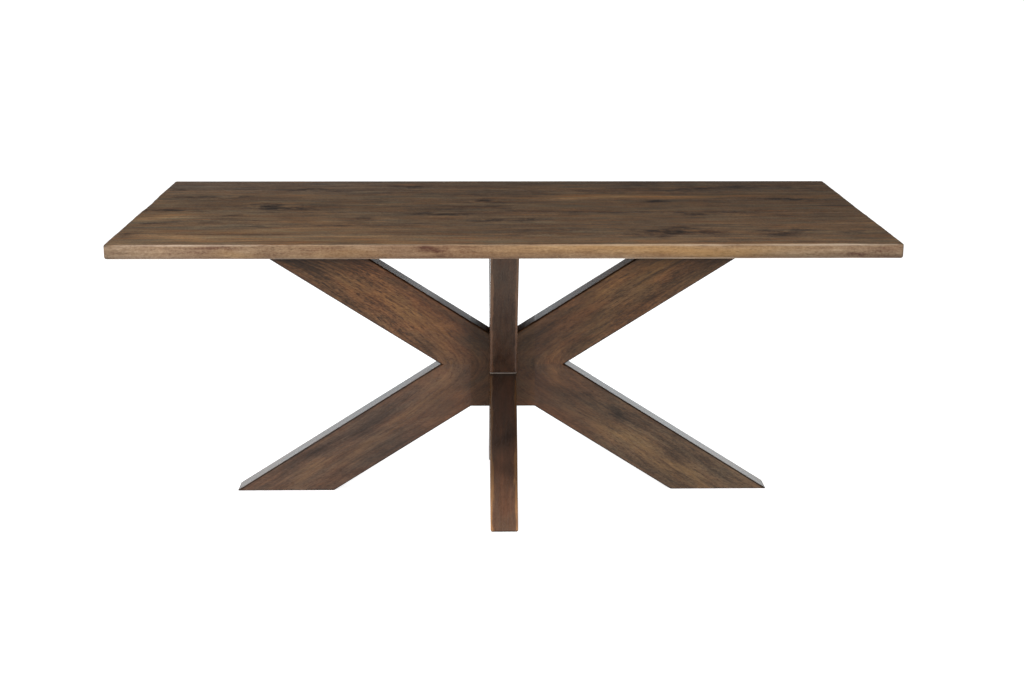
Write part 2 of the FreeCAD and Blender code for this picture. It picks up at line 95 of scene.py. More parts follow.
# Hand finish: how far ends, sides, arrises and faces wander inwards from the true solid, and from how far off
END_WANDER, SIDE_WANDER, ARRIS_WANDER, FACE_WANDER = 0.0011, 0.0008, 0.0009, 0.0003
LIMB_WANDER = 0.0005
WANDER_REACH = 0.03
# Wave lengths of that wander, and how their phases differ from wave to wave
END_WAVES, SIDE_WAVES = (0.31, 0.17, 0.083), (0.43, 0.21, 0.097)
LONG_HOLLOWS, CROSS_HOLLOWS = (0.24, 0.37, 0.13), (0.11, 0.19)
FINE_CHIPS, LONG_CHIPS = (0.057, 0.034, 0.021), (0.19, 0.093)
LIMB_CHIPS, LIMB_SWELLS = (0.19, 0.11, 0.043), (0.29, 0.071)
FIRST_PHASE, PHASE_STEP = 2.3, 1.7
# Lean of the hollows in the top's face: how fast they pass along X and along Y
HOLLOW_LEAN = (0.8, 3.0)
# Hollows worn into the ends of the top: side, Y, half length, depth
END_HOLLOWS = ((-1, 0.085, 0.09, 0.0024), (1, 0.02, 0.1, 0.0012))
# Grooves at the seams, the distance that stands for no seam, and how deep the knots lie
SEAM_WIDTH, SEAM_DEPTH, NO_SEAM = 0.0009, 0.00045, 1.0
KNOT_DEPTH = 0.0006

# Camera of the photograph: place, turns in degrees, focal length in pixels of its 1024 pixel width, and reach
CAMERA_PLACE = (-0.0627, -4.1741, 1.5017)
CAMERA_PITCH, CAMERA_YAW, CAMERA_ROLL = 14.71, 1.206, 0.155
FOCAL_PIXELS, PHOTO_WIDTH, SENSOR_MM = 1621.1, 1024, 36.0
CAMERA_REACH = 200

# Grain: how far apart the figures of two boards or limbs lie, and where the pith runs beside and below them
BOARD_SHIFT, LIMB_SHIFT = 7.3, 5.1
BOARD_PITH, LIMB_PITH = (0.02, 0.05), (0.035, 0.06)
# Sway of the grain across itself: reach, rate along the piece, and turn of its phase from piece to piece
TOP_SWAYS = ((0.004, 7, 1), (0.002, 19, 2))
LIMB_SWAYS = ((0.005, 9, 2), (0.002, 23, 1))
# Swerve of the grain round a knot: length and width in sizes of the knot, share of its width, steepness
SWERVE_LENGTH, SWERVE_WIDTH, SWERVE_SHARE, SWERVE_STEEPNESS = 4, 2.5, 0.8, 3
# Grain of the limbs: roundness of its arcs at a mitre, and how the upper ends of the arms bend level
SWING_ROUND, BEND_START, BEND_SHARE = 0.05, 0.39, 1.0
# Wobble of a painted mark: share of its width, bends in its length, and how its place sets the phase
MARK_WOBBLE, MARK_BENDS, MARK_PHASE = 0.5, 2.6, 40

# Knots in the top: X, Y, half length, half width
TOP_KNOTS = (
    (-0.615, 0.045, 0.03, 0.02), (-0.056, 0.131, 0.02, 0.012), (0.408, 0.117, 0.018, 0.011),
    (0.785, 0.148, 0.024, 0.013), (0.486, -0.075, 0.016, 0.011), (-0.036, -0.157, 0.018, 0.013),
    (0.064, -0.141, 0.015, 0.01), (-0.711, 0.198, 0.012, 0.008), (0.395, -0.33, 0.022, 0.016),
    (0.455, -0.312, 0.014, 0.01), (0.665, -0.31, 0.016, 0.011), (-0.16, -0.068, 0.014, 0.008),
)
# Marks on the top: X, Y, half length, half width, darkness. Negative darkness is a pale mark.
TOP_MARKS = (
    (-0.6, 0.045, 0.075, 0.04, 0.75), (-0.52, 0.01, 0.06, 0.018, 0.6), (-0.61, 0.08, 0.03, 0.022, 0.5),
    (-0.056, 0.13, 0.04, 0.02, 0.8), (-0.04, 0.1, 0.09, 0.012, 0.35), (0.411, 0.118, 0.035, 0.017, 0.85),
    (0.45, 0.04, 0.045, 0.014, 0.3), (0.79, 0.15, 0.05, 0.022, 0.85), (0.7, 0.17, 0.06, 0.03, 0.15),
    (-0.162, -0.07, 0.07, 0.017, 0.75), (-0.06, 0.02, 0.08, 0.026, 0.45), (-0.18, 0, 0.05, 0.014, 0.35),
    (0.486, -0.075, 0.032, 0.016, 0.85), (0.58, -0.07, 0.11, 0.018, 0.3),
    (-0.035, -0.156, 0.036, 0.022, 0.85), (0.062, -0.143, 0.036, 0.018, 0.7),
    (0.411, -0.318, 0.095, 0.05, 0.75), (0.33, -0.29, 0.06, 0.024, 0.4), (0.48, -0.3, 0.04, 0.03, 0.4),
    (0.673, -0.312, 0.065, 0.036, 0.6), (0.13, -0.29, 0.08, 0.018, 0.5),
    (-0.352, -0.14, 0.032, 0.026, 0.35), (-0.69, -0.09, 0.026, 0.012, 0.5),
    (-0.711, 0.198, 0.026, 0.014, 0.7), (-0.8, 0.19, 0.08, 0.018, 0.4),
    (-0.605, -0.231, 0.055, 0.014, 0.4), (-0.42, -0.225, 0.06, 0.012, 0.25),
    (-0.549, 0.318, 0.05, 0.018, 0.55), (-0.46, 0.3, 0.09, 0.022, 0.35),
    (-0.262, 0.362, 0.045, 0.024, 0.45), (0.75, 0.345, 0.2, 0.026, 0.4), (0.39, 0.39, 0.055, 0.016, 0.6),
    (0.54, 0.33, 0.12, 0.05, 0.3), (-0.87, -0.008, 0.08, 0.016, 0.8), (-0.89, 0.33, 0.03, 0.04, 0.3),
    (-0.74, -0.16, 0.07, 0.03, 0.25), (-0.88, -0.19, 0.05, 0.012, 0.55),
    (-0.905, -0.32, 0.03, 0.045, 0.45), (0.86, -0.31, 0.04, 0.03, 0.4), (0.1, 0.25, 0.3, 0.04, 0.2),
    (0.33, -0.04, 0.26, 0.01, 0.4), (-0.85, -0.12, 0.09, 0.03, -0.55), (-0.78, -0.37, 0.12, 0.05, -0.45),
    (-0.35, -0.37, 0.22, 0.03, -0.35), (-0.56, -0.28, 0.13, 0.018, -0.35),
    (0.12, -0.42, 0.26, 0.022, -0.25), (-0.88, 0.06, 0.03, 0.06, -0.25), (0.25, 0.18, 0.16, 0.026, -0.45),
    (0.48, 0.2, 0.18, 0.018, -0.4), (0.16, 0.155, 0.07, 0.012, -0.45), (0.15, -0.11, 0.26, 0.01, -0.25),
    (0.6, -0.18, 0.2, 0.03, -0.2), (-0.3, 0.18, 0.25, 0.02, -0.15),
)
# Golden places on the top: X, Y, half length, half width, strength
TOP_GOLD = (
    (0.3, 0.185, 0.22, 0.028, 0.9), (0.52, 0.205, 0.19, 0.02, 0.7), (0.85, 0.2, 0.07, 0.03, 0.5),
    (-0.7, -0.42, 0.22, 0.045, 0.3), (-0.33, -0.43, 0.16, 0.03, 0.6), (0.3, -0.46, 0.5, 0.014, 0.5),
    (-0.86, -0.1, 0.06, 0.04, 0.5), (-0.55, -0.3, 0.26, 0.03, 0.4),
)
# Marks on the front edge of the top: X, Z, half length, half height, darkness
EDGE_MARKS = (
    (-0.175, 0.748, 0.035, 0.01, 0.75), (-0.12, 0.744, 0.02, 0.008, 0.4),
    (0.815, 0.738, 0.028, 0.006, 0.8), (-0.665, 0.754, 0.05, 0.006, 0.5), (0.3, 0.738, 0.12, 0.006, 0.25),
    (0.52, 0.752, 0.08, 0.006, 0.25), (-0.42, 0.74, 0.1, 0.006, 0.2), (-0.85, 0.74, 0.07, 0.007, -0.35),
    (0.05, 0.75, 0.1, 0.006, -0.25), (0.64, 0.742, 0.12, 0.008, -0.3), (-0.3, 0.752, 0.06, 0.005, -0.3),
)
# Golden places on the front edge: X, Z, half length, half height, strength
EDGE_GOLD = (
    (-0.63, 0.736, 0.05, 0.009, 0.5), (-0.35, 0.738, 0.1, 0.008, 0.4), (0.3, 0.748, 0.3, 0.014, 0.7),
    (0.52, 0.746, 0.14, 0.014, 0.5),
)
# Where the front edge's own colours start behind its front, and over what depth they come in
EDGE_START, EDGE_REACH = 0.6 * TOP_ROUND, 0.4 * TOP_ROUND
# Brightness of the front edge along X, and its tint: green and blue against red
EDGE_TONES = (
    (-0.93, 0.58), (-0.8, 0.79), (-0.55, 0.69), (-0.44, 0.76), (-0.36, 0.64), (-0.23, 0.55), (-0.13, 0.71),
    (0.0, 0.75), (0.4, 0.79), (0.65, 0.72), (0.82, 0.8), (0.9, 0.83))
EDGE_GREEN = (
    (-0.9, 1.03), (-0.65, 1.03), (-0.45, 1.0), (-0.25, 0.91), (0.0, 0.97), (0.4, 0.99), (0.8, 1.05))
EDGE_BLUE = (
    (-0.9, 1.11), (-0.65, 1.09), (-0.45, 0.97), (-0.25, 0.9), (0.0, 0.92), (0.4, 0.98), (0.8, 1.12))
# Brightness up the front edge at its left and at its right, and where the one turns into the other: painted
# shading, darker towards the lower arris, most at the right, and lighter at the top
LEFT_SHADES = (
    (0.0, 0.54), (0.006, 0.8), (0.011, 0.95), (0.017, 0.99), (0.022, 1.0), (0.027, 1.04), (0.031, 1.07))
RIGHT_SHADES = ((0.0, 0.4), (0.006, 0.62), (0.014, 0.89), (0.022, 1.03), (0.027, 1.09), (0.031, 1.09))
RIGHT_START, RIGHT_REACH = 0.3, 0.45
# Strength of the painted highlight, partly wear, on the front upper arris along X
RIM_LIGHT = ((-0.95, 0.1), (-0.75, 0.8), (-0.65, 0.8), (-0.5, 0.4), (0.0, 0.4), (0.3, 0.6), (0.8, 1.0))
# Brightness of the six boards from front to rear: partly their own colour, partly painted shade that darkens
# the rear boards
BOARD_TONES = (1.03, 0.95, 0.95, 0.87, 0.91, 0.85)
# Washes and painted sheen on the top: the first lightens the right front, the others paint a blue-grey sheen
# towards the rear and the left. Each gives start and reach along X and along Y, and what it adds to red,
# green and blue
EVERYWHERE = (-10.0, 1.0)
TOP_WASHES_AND_SHEEN = (
    ((0.1, 0.6), (0.3, -0.6), (0.24, 0.24, 0.24)),
    ((0.1, -0.7), (0.1, 0.4), (0.1, 0.18, 0.38)),
    (EVERYWHERE, (0.15, 0.3), (0.0, 0.02, 0.08)),
    ((-0.15, -0.45), EVERYWHERE, (0.02, 0.05, 0.07)),
)

# Marks on the long limbs: along, across, half length, half width, darkness. Negative darkness is golden.
LIMB_MARKS = {
    "left_upper_arm": (
        (0.275, -0.01, 0.105, 0.024, -0.9), (0.44, 0.01, 0.09, 0.018, -0.55),
        (0.58, -0.02, 0.07, 0.016, -0.35), (0.56, 0.034, 0.08, 0.02, 0.2), (0.43, 0.05, 0.035, 0.014, 0.6),
        (0.2, 0.058, 0.035, 0.013, 0.7), (0.64, 0, 0.1, 0.04, 0.35), (0.33, -0.055, 0.15, 0.012, 0.35),
        (0.34, 0.02, 0.08, 0.01, 0.35), (0.1, -0.03, 0.06, 0.04, 0.45), (0.16, 0.02, 0.03, 0.02, -0.4),
    ),
    "right_upper_arm": (
        (0.52, -0.01, 0.11, 0.022, -0.7), (0.35, -0.04, 0.09, 0.014, -0.45),
        (0.25, 0.02, 0.05, 0.014, -0.2), (0.3, 0, 0.09, 0.012, 0.65), (0.44, 0.03, 0.11, 0.013, 0.6),
        (0.6, 0.04, 0.08, 0.018, 0.5), (0.66, -0.03, 0.08, 0.022, 0.4), (0.22, -0.045, 0.06, 0.016, 0.5),
        (0.17, 0.05, 0.05, 0.012, 0.5), (0.1, -0.03, 0.06, 0.04, 0.35), (0.13, 0.03, 0.026, 0.024, -0.55),
    ),
    "left_lower_leg": (
        (0.3, 0, 0.13, 0.014, -0.6), (0.6, 0.01, 0.07, 0.016, -0.75), (0.45, -0.02, 0.1, 0.016, -0.35),
        (0.36, 0.04, 0.16, 0.016, 0.4), (0.56, 0.05, 0.09, 0.012, 0.65), (0.6, -0.045, 0.09, 0.018, 0.35),
        (0.42, 0.015, 0.05, 0.01, 0.35), (0.09, -0.02, 0.055, 0.04, 0.5), (0.15, 0.02, 0.04, 0.02, -0.3),
    ),
    "right_lower_leg": (
        (0.4, -0.01, 0.11, 0.02, -0.95), (0.59, -0.01, 0.07, 0.018, -0.7),
        (0.48, -0.03, 0.06, 0.012, -0.45), (0.33, 0.035, 0.035, 0.014, 0.75),
        (0.26, -0.045, 0.035, 0.014, 0.6), (0.52, 0.03, 0.06, 0.016, 0.55), (0.23, 0.03, 0.03, 0.012, 0.5),
        (0.63, 0.05, 0.08, 0.014, 0.6), (0.45, -0.055, 0.12, 0.01, 0.3), (0.09, -0.02, 0.05, 0.04, 0.35),
        (0.13, 0.025, 0.03, 0.022, -0.55),
    ),
}
# Marks on the narrow faces of the short limbs in the same way, across the thickness of the stock
NARROW_MARKS = {
    "front_upper_arm": (
        (0.108, -0.002, 0.008, 0.007, 1), (0.085, -0.012, 0.018, 0.006, 0.7),
        (0.12, 0.014, 0.026, 0.005, 0.5), (0.062, -0.008, 0.018, 0.01, -0.6),
        (0.035, 0.002, 0.018, 0.01, -0.8), (0.1, 0.008, 0.014, 0.006, -0.4),
        (0.012, -0.012, 0.015, 0.01, 0.5), (0.048, 0.014, 0.016, 0.008, 0.6),
        (0.26, -0.012, 0.04, 0.01, 0.3),
    ),
    "front_lower_leg": (
        (0.24, -0.012, 0.022, 0.016, 1), (0.262, 0.016, 0.018, 0.01, 0.7), (0.29, 0.006, 0.02, 0.01, -0.7),
        (0.325, -0.012, 0.02, 0.012, 0.6), (0.345, 0.01, 0.02, 0.01, -0.75),
        (0.222, 0.01, 0.018, 0.01, -0.7), (0.11, -0.012, 0.04, 0.01, -0.5), (0.06, 0.012, 0.03, 0.01, 0.4),
        (0.39, -0.014, 0.02, 0.01, -0.35), (0.165, 0, 0.05, 0.03, -0.3),
    ),
}
# Brightness of the limbs by the way out from the table's middle: partly the wood's own colour, partly painted
# shade, darkest where the long limbs meet the hub and where the short limbs meet at the crease under the top
BRIGHTNESS = {
    "left_upper_arm": (
        (0.05, 0.42), (0.078, 0.48), (0.115, 0.92), (0.14, 0.98), (0.18, 0.99), (0.23, 1.15), (0.3, 1.13),
        (0.35, 1.03), (0.4, 0.91)),
    "left_lower_leg": (
        (0.05, 0.5), (0.085, 0.6), (0.11, 0.95), (0.13, 1.0), (0.3, 1.0), (0.38, 0.93), (0.49, 1.0)),
    "right_upper_arm": (
        (0.05, 0.74), (0.07, 0.78), (0.09, 0.87), (0.12, 0.91), (0.17, 0.94), (0.21, 0.85), (0.24, 0.88),
        (0.28, 1.04), (0.32, 1.04), (0.36, 0.98)),
    "right_lower_leg": (
        (0.05, 0.76), (0.085, 0.78), (0.11, 0.74), (0.15, 0.75), (0.2, 0.85), (0.26, 0.91), (0.3, 1.03),
        (0.42, 1.07), (0.47, 1.0), (0.6, 1.36)),
    "short_upper_arm": (
        (0.12, 0.28), (0.145, 0.29), (0.18, 0.33), (0.21, 0.46), (0.26, 0.54), (0.3, 0.51), (0.36, 0.49)),
    "short_lower_leg": (
        (0.12, 0.23), (0.18, 0.26), (0.215, 0.29), (0.24, 0.44), (0.26, 0.46), (0.29, 0.94), (0.32, 1.38)),
}
# How vivid the fine figure of the long limbs is by the way out, and of the short limbs and the hub all over
VIVID = {
    "left_upper_arm": ((0.1, 0.6), (0.2, 0.85), (0.3, 1.2)),
    "left_lower_leg": ((0.1, 0.6), (0.3, 0.7)),
    "right_upper_arm": ((0.1, 0.6), (0.2, 0.75), (0.3, 0.92)),
    "right_lower_leg": ((0.1, 0.6), (0.3, 0.95)),
}
SHORT_VIVID, HUB_VIVID = 0.6, 0.6
# Tints in red, green and blue: the hub's, its factors at the mitres of the long limbs, and the limbs' own
HUB_TINT = np.array([1.04, 1.0, 0.97])
MITRE_TINTS = {"long_upper_arm": (0.92, 0.98, 1.06), "long_lower_leg": (1.14, 1.03, 0.88)}
LIMB_TINTS = {
    "left_upper_arm": (0.95, 0.98, 0.99), "right_upper_arm": (0.94, 1.03, 1.0),
    "left_lower_leg": (0.89, 0.91, 0.93), "right_lower_leg": (0.87, 0.94, 0.87),
    "front_upper_arm": (0.86, 0.98, 1.0), "front_lower_leg": (0.98, 1.0, 0.99),
}
NO_TINT = (1.0, 1.0, 1.0)
# Where a limb's own tint starts on the way out, and over what stretch it comes in
TINT_START, TINT_REACH = 0.09, 0.22
# Shade on the upper ends of the long arms by the depth below the top, and on the undersides of all long limbs
END_SHADES = ((0.0, 0.18), (0.09, 0.2), (0.106, 0.68), (0.135, 1.0))
UNDERSIDE_SHADE = 0.45
# Dulling of the long arms' narrow faces towards the hub: where it starts, how strong it gets, and its reach
HUB_DULL = {"left_upper_arm": (0.2, 0.22), "right_upper_arm": (0.12, 0.18)}
NO_DULL = (0.0, 0.0)
DULL_REACH = 0.05
# Dulling of the hub between its front and rear faces by the distance from the table's middle
HUB_CUT_DULL = ((0.05, 0.42), (0.08, 0.2))
# Wider wear on one arris of the short limbs: share, start and reach on the way out, reach through the stock
WIDE_WEAR, WIDE_START, WIDE_REACH, WIDE_SIDE = 0.15, 0.19, 0.1, 0.02

# Figure, and wander of the rings: lumps per metre along and across, detail, roughness, distortion
TOP_FIGURE = {
    "bands": (1.2, 22, 4, 0.6, 0.6),
    "lines": (3.2, 48, 6, 0.7, 0.3),
    "streaks": (6, 120, 4, 0.6, 0),
    "clouds": (4.5, 11, 4, 0.6, 0),
    "flecks": (22, 42, 4, 0.65, 0),
    "mottle": (60, 50, 4, 0.65, 0),
    "speckle": (170, 260, 2, 0.6, 0),
    "pores": (60, 800, 2, 0.55, 0),
    "cracks": (8, 74, 3, 0.6, 0),
    "glints": (7, 92, 3, 0.6, 0),
    "specks": (55, 420, 2, 0.55, 0),
}
LIMB_FIGURE = {
    "bands": (3, 22, 5, 0.6, 1),
    "streaks": (10, 150, 4, 0.6, 0.3),
    "clouds": (6, 13, 4, 0.6, 0.5),
    "curl": (34, 12, 2, 0.5, 0.6),
    "dashes": (42, 330, 3, 0.6, 0),
    "pores": (110, 1300, 2, 0.55, 0),
    "grit": (150, 330, 2, 0.6, 0),
    "worn": (11, 60, 5, 0.65, 0),
}
RING_WANDER = (1.3, 7, 3, 0.55, 0)
# Detail, roughness and distortion of the tints
TINT_NOISE = (4.0, 0.65, 0.4)
# Spacing of the growth rings in the top and in the limbs, and how far the pith wanders
TOP_RINGS, LIMB_RINGS, PITH_WANDER = 0.0075, 0.011, 0.05
# Weight of each layer in the shade of the top's face, of its front edge and of the limbs
FACE_WEIGHTS = {"bands": 0.36, "lines": 0.46, "streaks": 0.4, "clouds": 0.36, "flecks": 0.36, "mottle": 0.2,
                "speckle": 0.6, "rings": 0.06}
EDGE_WEIGHTS = {"streaks": 0.75, "flecks": 0.3, "clouds": 0.5, "speckle": 0.55}
LIMB_WEIGHTS = {"bands": 0.45, "clouds": 0.4, "curl": 0.15, "rings": 0.07}
# Colours from dark to light, and the shades that they stand for
SHADE_STEPS = (0.08, 0.32, 0.5, 0.68, 0.92)
TOP_COLOURS = ((37, 28, 22), (71, 54, 42), (97, 76, 58), (122, 97, 73), (156, 127, 96))
EDGE_STEPS = (0.1, 0.35, 0.55, 0.85)
EDGE_COLOURS = ((92, 58, 43), (126, 97, 73), (150, 122, 93), (178, 151, 121))
# Tints in turn along the grain: lumps per metre along and across it, and the warm and the cool tint
TOP_TINTS = (
    (3.5, 34.0, (1.11, 0.98, 0.84), (0.92, 1.03, 1.1)),
    (9.0, 84.0, (1.09, 0.97, 0.85), (0.93, 1.04, 1.08)),
)
STAIN_TINT = (7.0, 26.0, (1.1, 0.97, 0.88), (0.94, 1.02, 1.04))
# Lines along the arrises of the limbs: colour, reach, raggedness, strength
RED_LINE = ((108, 70, 50), 0.013, 0.006, 0.14)
# The dark line is painted shade and dark reflection on the rounded arrises
ARRIS_SHADE_LINE = ((22, 16, 13), 0.0046, 0.002, 0.8)
ARM_LINE = ((146, 104, 78), 0.008, 0.03, 0.65)
LEG_LINE = ((152, 110, 72), 0.0075, 0.026, 0.72)
# Finishes of the limbs and the hub: inputs of stained_wood
WOOD_FINISHES = {
    "long_upper_arm": {
        "name": "base_wood_finish", "lines": (RED_LINE, ARRIS_SHADE_LINE), "open_pores": 0.62,
        "colours": ((38, 25, 18), (73, 50, 34), (100, 69, 47), (124, 86, 57), (154, 108, 70))},
    "long_lower_leg": {
        "name": "leg_wood_finish", "lines": (RED_LINE, ARRIS_SHADE_LINE), "gloss": 0.18, "golden": (142, 106, 70),
        "colours": ((36, 27, 22), (65, 49, 40), (88, 67, 54), (108, 83, 65), (138, 106, 80))},
    "hub": {
        "name": "hub_wood_finish", "lines": (ARRIS_SHADE_LINE,), "gloss": 0.12,
        "colours": ((35, 25, 19), (66, 48, 36), (92, 68, 50), (114, 84, 60), (144, 107, 74))},
    "short_upper_arm": {
        "name": "front_arm_finish", "lines": (ARM_LINE,), "gloss": 0.12, "open_pores": 0.22,
        "golden": (128, 80, 58), "crease": 0.75,
        "colours": ((42, 29, 23), (70, 49, 39), (90, 66, 53), (106, 77, 61), (130, 95, 72))},
    "short_lower_leg": {
        "name": "front_leg_finish", "lines": (LEG_LINE,), "gloss": 0.12, "open_pores": 0.25,
        "golden": (136, 88, 64), "crease": 0.75,
        "colours": ((50, 34, 27), (77, 55, 44), (90, 66, 53), (102, 74, 59), (122, 88, 68))},
}

# Studio: half the floor's length, its grid, its surface and glow, and the room's linear colours by height
FLOOR_REACH, FLOOR_CELLS = 80.0, 8
FLOOR_ALBEDO, FLOOR_ROUGHNESS, FLOOR_GLOW = 0.9, 0.9, 0.86
ROOM_COLOURS = (
    (0.0, (1.0, 1.0, 1.0)), (0.03, (1.0, 1.0, 1.0)), (0.07, (0.26, 0.27, 0.28)), (0.157, (0.14, 0.145, 0.15)),
    (0.2, (0.05, 0.05, 0.05)), (0.6, (0.07, 0.07, 0.07)), (0.9, (0.5, 0.5, 0.5)))
# Lamps: place, target, size, power in watts, linear colour. The card stands behind the table.
CARD_HEIGHT = 0.98 * UNDER_LEVEL
WHITE = (1.0, 1.0, 1.0)
LAMPS = {
    "overhead": ((-1.6, -1.8, 3.0), (0, 0, TOP_LEVEL), (3.0, 2.4), 105, WHITE),
    "front_left": ((-3.2, -4.2, 2.0), (0, 0, 0.5), (3.0, 2.4), 45, WHITE),
    "front_right": ((3.4, -4.0, 1.8), (0, 0, 0.5), (2.6, 2.2), 30, WHITE),
    "rear_card": ((0, 1.1, CARD_HEIGHT / 2), (0, 0, CARD_HEIGHT / 2), (6.0, CARD_HEIGHT), 13.2,
                  (0.87, 0.95, 1.0)),
}


def linear(red, green, blue):
    """Linear colour of an sRGB colour given in 0 to 255."""
    shares = [channel / 255 for channel in (red, green, blue)]
    return tuple(s / 12.92 if s <= 0.04045 else ((s + 0.055) / 1.055) ** 2.4 for s in shares) + (1.0,)


def stops(steps, colours):
    """Stops of a colour ramp."""
    return [(step, linear(*colour)) for step, colour in zip(steps, colours)]


def smooth(values):
    """Smooth step of values that run from 0 to 1."""
    held = np.clip(values, 0, 1)
    return held * held * (3 - 2 * held)


def curve(values, points):
    """Heights at the values of a line through (place, height) points."""
    return np.interp(values, *zip(*points))


def ripple(along, lengths, seed):
    """Uneven wave from 0 to 1 along a line, made of the given wave lengths."""
    waves = [np.sin(2 * np.pi * along / length + seed * (FIRST_PHASE + PHASE_STEP * number))
             for number, length in enumerate(lengths)]
    return 0.5 + 0.5 * sum(waves) / len(waves)


def sway(along, waves, seed):
    """How far the grain of one piece wanders to and fro across itself."""
    return sum(reach * np.sin(rate * along + turn * seed) for reach, rate, turn in waves)


class Graph:
    """The node tree of one material, with short calls for the nodes that its finish needs."""

    def __init__(self, tree):
        self.tree = tree
        self.tree.nodes.clear()

    def feed(self, socket, value):
        if isinstance(value, bpy.types.NodeSocket):
            self.tree.links.new(value, socket)
        else:
            socket.default_value = value

    def add(self, kind, inputs, **settings):
        node = self.tree.nodes.new(kind)
        for name, value in settings.items():
            setattr(node, name, value)
        for socket, value in inputs.items():
            self.feed(node.inputs[socket], value)
        return node

    def attribute(self, name, output="Fac"):
        return self.add("ShaderNodeAttribute", {}, attribute_name=name).outputs[output]

    def place(self):
        return self.add("ShaderNodeTexCoord", {}).outputs["Object"]

    def parts(self, vector):
        return self.add("ShaderNodeSeparateXYZ", {0: vector}).outputs

    def math(self, operation, first, second=0.0):
        return self.add("ShaderNodeMath", {0: first, 1: second}, operation=operation).outputs[0]

    def total(self, *terms):
        """Sum of (value, weight) pairs."""
        result = 0.0
        for value, weight in terms:
            inputs = {0: value, 1: weight, 2: result}
            result = self.add("ShaderNodeMath", inputs, operation="MULTIPLY_ADD").outputs[0]
        return result

    def distance(self, value, other):
        return self.math("ABSOLUTE", self.total((value, 1.0), (other, -1.0)))

    def figure(self, layers, weights):
        """0.5 plus weighted layers that run about 0.5."""
        terms = [(layers[name], weight) for name, weight in weights.items()]
        return self.total((0.5 - sum(weights.values()) / 2, 1.0), *terms)

    def vector(self, operation, first, second):
        return self.add("ShaderNodeVectorMath", {0: first, 1: second}, operation=operation).outputs[0]

    def noise(self, vector, stretch, detail=3.0, roughness=0.55, distortion=0.0):
        """Noise in 0 to 1 with as many lumps per metre in each direction as stretch says."""
        inputs = {"Vector": self.vector("MULTIPLY", vector, stretch), "Scale": 1.0, "Detail": detail,
                  "Roughness": roughness, "Distortion": distortion}
        return self.add("ShaderNodeTexNoise", inputs).outputs[0]

    def layer(self, grain, along, across, detail, roughness, distortion):
        """Noise that follows the grain."""
        return self.noise(grain, (along, across, across), detail, roughness, distortion)

    def remap(self, value, low, high, to_low=0.0, to_high=1.0):
        inputs = {"Value": value, "From Min": low, "From Max": high, "To Min": to_low, "To Max": to_high}
        return self.add("ShaderNodeMapRange", inputs, interpolation_type="SMOOTHSTEP").outputs[0]

    def ramp(self, value, colour_stops):
        node = self.add("ShaderNodeValToRGB", {"Fac": value})
        elements = node.color_ramp.elements
        while len(elements) < len(colour_stops):
            elements.new(1.0)
        for element, (place, colour) in zip(elements, colour_stops):
            element.position = place
            element.color = colour
        return node.outputs[0]

    def mix(self, factor, first, second):
        return self.add("ShaderNodeMix", {0: factor, 6: first, 7: second}, data_type="RGBA").outputs[2]

    def pull_towards(self, colour, share, strength, target):
        """The colour turned towards the target by share times strength."""
        return self.mix(self.math("MULTIPLY", share, strength), colour, linear(*target))

    def bump(self, height, distance, strength=1.0):
        inputs = {"Height": height, "Distance": distance, "Strength": strength}
        return self.add("ShaderNodeBump", inputs).outputs[0]

    def principled(self, **inputs):
        named = {name.replace("_", " "): value for name, value in inputs.items()}
        shader = self.add("ShaderNodeBsdfPrincipled", named)
        self.add("ShaderNodeOutputMaterial", {"Surface": shader.outputs[0]})


def new_material(name):
    material = bpy.data.materials.new(name)
    material.use_nodes = True
    return material, Graph(material.node_tree)


def growth_rings(graph, grain, spacing):
    """Soft rings round a pith that runs along the grain, wandering with the tree."""
    wander = graph.layer(grain, *RING_WANDER)
    lines = graph.parts(grain)
    across = graph.total((lines[1], 1.0), (wander, PITH_WANDER))
    squares = [graph.math("MULTIPLY", side, side) for side in (across, lines[2])]
    radius = graph.math("SQRT", graph.total(*((square, 1.0) for square in squares)))
    return graph.math("FRACT", graph.math("DIVIDE", radius, spacing))


def wood_layers(graph, grain, figure, ring_spacing):
    """The layers of a wood's figure by name."""
    layers = {name: graph.layer(grain, *layer) for name, layer in figure.items()}
    layers["rings"] = growth_rings(graph, grain, ring_spacing)
    return layers


def tinted(graph, grain, colour, along, across, warm, cool):
    """The colour pulled towards warm and cool tints in turn along the grain."""
    tint = graph.layer(grain, along, across, *TINT_NOISE)
    shift = graph.mix(graph.remap(tint, 0.32, 0.68), cool + (1.0,), warm + (1.0,))
    return graph.vector("MULTIPLY", colour, shift)


def top_face(graph, grain, layers, gold, dark):
    """Colour of the upper face of the top."""
    cracks, glints = (graph.remap(layers[name], 0.58, 0.68) for name in ("cracks", "glints"))
    shade = graph.figure(layers, FACE_WEIGHTS)
    shade = graph.total((shade, 1.0), (dark, -0.4), (cracks, -0.13), (glints, 0.1), (0.012, 1.0))
    colour = graph.ramp(shade, stops(SHADE_STEPS, TOP_COLOURS))
    colour = graph.pull_towards(colour, gold, graph.remap(layers["streaks"], 0.3, 0.7, 0.15, 0.7), (148, 103, 58))
    for tint in TOP_TINTS:
        colour = tinted(graph, grain, colour, *tint)
    return colour


def sawn_edge(graph, layers, gold, dark):
    """Colour of the paler front edge of the top, redder at its foot."""
    shade = graph.total((graph.figure(layers, EDGE_WEIGHTS), 1.0), (dark, -0.32))
    colour = graph.ramp(shade, stops(EDGE_STEPS, EDGE_COLOURS))
    colour = graph.pull_towards(colour, gold, 0.6, (174, 132, 74))
    colour = graph.pull_towards(colour, graph.remap(layers["specks"], 0.58, 0.66), 0.26, (74, 50, 36))
    height = graph.parts(graph.place())[2]
    foot = graph.remap(height, UNDER_LEVEL + 0.005, UNDER_LEVEL + 0.001)
    return graph.pull_towards(colour, foot, 0.35, (104, 66, 46))


